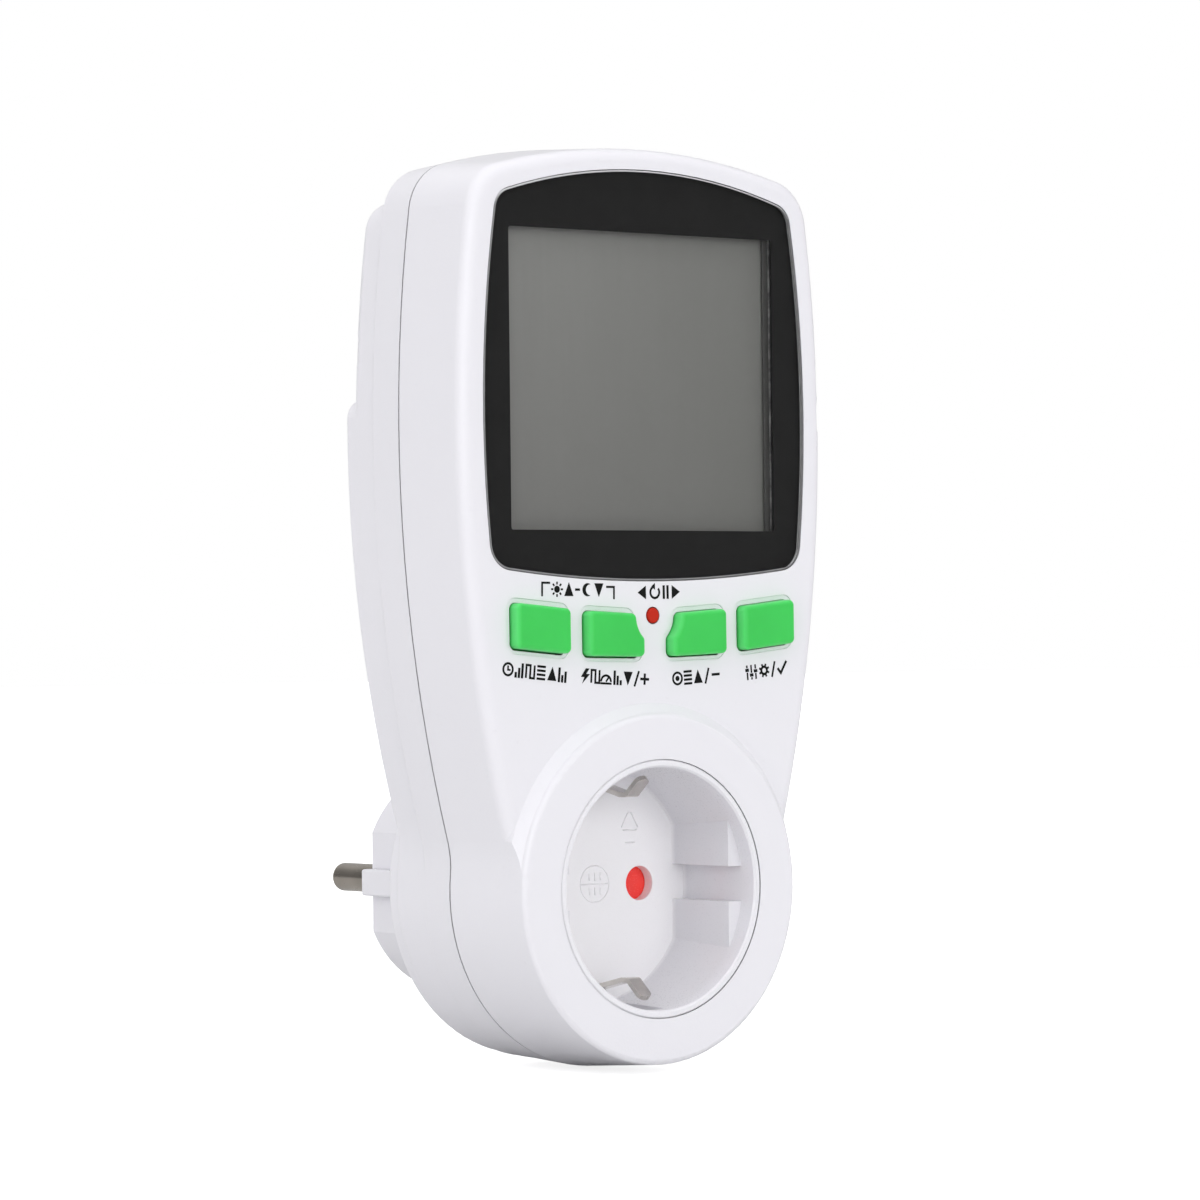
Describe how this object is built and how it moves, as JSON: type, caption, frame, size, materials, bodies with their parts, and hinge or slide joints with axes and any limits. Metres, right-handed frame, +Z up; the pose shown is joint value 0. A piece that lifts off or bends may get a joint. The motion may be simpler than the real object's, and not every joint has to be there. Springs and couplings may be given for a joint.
{
  "type": "plug in power meter",
  "caption": "Plug-in mains power meter: tall rounded casing with display, row of keys, reset button, shuttered outlet in front and round earthed plug behind.",
  "frame": {"origin": "centre of the plug's end face, midway between the two pins, which lie along +Y", "axes": "+Y into the wall, along the pins; +Z up, from the outlet to the display; +X to the right seen from the front; the display, keys and outlet face -Y"},
  "size_m": [0.077, 0.0745, 0.1491],
  "materials": {
    "casing_white": "satin, moulded",
    "socket_white": "satin, moulded",
    "shutter_red": "satin, moulded",
    "insulator": "matt, moulded",
    "black_plastic": "matt, moulded",
    "lens": "clear, polished",
    "mask_black": "printed film",
    "lcd": "grey liquid crystal glass with polariser",
    "backlight": "diffuser",
    "key_green": "translucent silicone",
    "silicone": "translucent silicone",
    "carbon": "conductive, matt",
    "reset_red": "satin",
    "pcb_green": "solder mask",
    "chip_black": "moulded epoxy with tinned leads",
    "nickel": "nickel plated brass",
    "spring_steel": "drawn wire",
    "brass": "stamped",
    "manganin": "stamped, satin",
    "screw_steel": "zinc plated",
    "film_cap": "moulded box",
    "elco": "sleeved can",
    "varistor_blue": "dipped epoxy",
    "fuse_body": "moulded",
    "diode": "moulded with tinned leads",
    "crystal_can": "drawn can",
    "battery": "shrink sleeve",
    "ribbon": "flat cable",
    "wire_brown": "PVC insulation",
    "wire_blue": "PVC insulation",
    "label": "blank silver film"
  },
  "bodies": {
    "housing": {"front_cover": "casing_white", "rear_cover": "casing_white", "socket_cup": "socket_white", "shutter_spring": "spring_steel", "contact_carrier": "insulator", "earth_strap": "brass", "plug_earth_contact_top": "nickel", "plug_earth_contact_bottom": "nickel", "live_pin": "nickel", "neutral_pin": "nickel", "pin_carrier": "insulator", "live_contact": "brass", "neutral_contact": "brass", "neutral_strap": "brass", "current_shunt": "manganin", "display_lens": "lens", "lens_mask": "mask_black", "lcd_panel": "lcd", "lcd_frame": "black_plastic", "lcd_backlight": "backlight", "zebra_strip": "carbon", "keypad_mat": "silicone", "reset_switch": "black_plastic", "display_board": "pcb_green", "controller_chip": "chip_black", "display_board_screws": "screw_steel", "power_board": "pcb_green", "power_board_screws": "screw_steel", "x2_capacitor": "film_cap", "electrolytic_capacitors": "elco", "varistor": "varistor_blue", "fuse": "fuse_body", "metering_chip": "chip_black", "rectifier_diodes": "diode", "crystal": "crystal_can", "backup_battery": "battery", "ribbon_cable": "ribbon", "live_wire": "wire_brown", "neutral_wire": "wire_blue", "housing_screws": "screw_steel", "rating_label": "label"},
    "key_history_body": {"key_history": "key_green", "carbon_pill_history": "carbon"},
    "key_energy_body": {"key_energy": "key_green", "carbon_pill_energy": "carbon"},
    "key_cost_body": {"key_cost": "key_green", "carbon_pill_cost": "carbon"},
    "key_set_body": {"key_set": "key_green", "carbon_pill_set": "carbon"},
    "reset_body": {"reset_button": "reset_red"},
    "shutter": {"shutter_disc": "shutter_red"},
    "clip_top": {"earth_clip_top": "nickel"},
    "clip_bottom": {"earth_clip_bottom": "nickel"}
  },
  "joints": [
    {"name": "key_history_press", "type": "slide", "parent": "housing", "child": "key_history_body", "axis": [0, 1, 0], "range_m": [0, 0.00115], "stiffness_N_per_m": 700},
    {"name": "key_energy_press", "type": "slide", "parent": "housing", "child": "key_energy_body", "axis": [0, 1, 0], "range_m": [0, 0.00115], "stiffness_N_per_m": 700},
    {"name": "key_cost_press", "type": "slide", "parent": "housing", "child": "key_cost_body", "axis": [0, 1, 0], "range_m": [0, 0.00115], "stiffness_N_per_m": 700},
    {"name": "key_set_press", "type": "slide", "parent": "housing", "child": "key_set_body", "axis": [0, 1, 0], "range_m": [0, 0.00115], "stiffness_N_per_m": 700},
    {"name": "reset_press", "type": "slide", "parent": "housing", "child": "reset_body", "axis": [0, 1, 0], "range_m": [0, 0.0006], "stiffness_N_per_m": 900},
    {"name": "shutter_turn", "type": "hinge", "parent": "housing", "child": "shutter", "pos_m": [0, -0.0342, 0], "axis": [0, 1, 0], "range_deg": [0, 37], "stiffness_Nm_per_rad": 0.004},
    {"name": "earth_clip_top_flex", "type": "hinge", "parent": "housing", "child": "clip_top", "pos_m": [0, -0.0374, 0.017], "axis": [-1, 0, 0], "range_deg": [0, 4.8], "stiffness_Nm_per_rad": 0.3},
    {"name": "earth_clip_bottom_flex", "type": "hinge", "parent": "housing", "child": "clip_bottom", "pos_m": [0, -0.0374, -0.017], "axis": [1, 0, 0], "range_deg": [0, 4.8], "stiffness_Nm_per_rad": 0.3}
  ]
}
